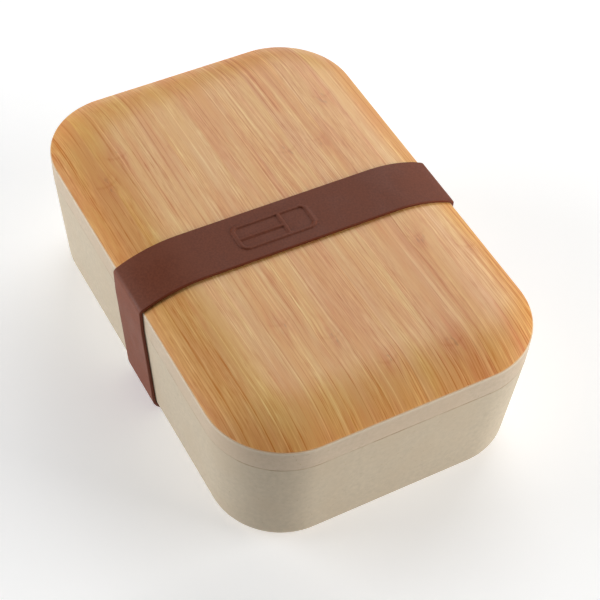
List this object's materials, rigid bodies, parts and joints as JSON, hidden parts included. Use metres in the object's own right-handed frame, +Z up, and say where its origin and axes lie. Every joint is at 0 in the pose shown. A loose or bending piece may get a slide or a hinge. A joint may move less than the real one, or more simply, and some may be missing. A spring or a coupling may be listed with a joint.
{
  "type": "bento lunch box",
  "caption": "Rectangular bento lunch box with a moulded tub, a crowned bamboo lid, an inner divider and a silicone strap round the closed box.",
  "frame": {"origin": "on the surface the box stands on, under the middle of the box", "axes": "+X along the box's length, +Y across it, +Z up through the lid"},
  "size_m": [0.19, 0.1308, 0.0678],
  "materials": {
    "moulded_tub": "matte moulded bamboo fibre, finely speckled",
    "moulded_lid": "matte moulded bamboo fibre, finely speckled",
    "bamboo": "satin oiled laminated bamboo, grain along the box",
    "seal": "soft translucent silicone",
    "strap": "matte brown silicone",
    "moulded_divider": "matte moulded bamboo fibre, finely speckled"
  },
  "bodies": {
    "tub": {"tub": "moulded_tub"},
    "lid": {"lid_shell": "moulded_lid", "bamboo_top": "bamboo", "seal_ring": "seal"},
    "strap": {"strap": "strap"},
    "divider": {"divider": "moulded_divider"}
  },
  "joints": [
    {"name": "lid_lift", "type": "slide", "parent": "tub", "child": "lid", "axis": [0, 0, 1], "range_m": [0, 0.09], "deforming": ["strap"]},
    {"name": "strap_slide", "type": "slide", "parent": "tub", "child": "strap", "axis": [1, 0, 0], "range_m": [-0.125, 0.12]},
    {"name": "divider_slide", "type": "slide", "parent": "tub", "child": "divider", "axis": [1, 0, 0], "range_m": [-0.08, 0.034]}
  ]
}
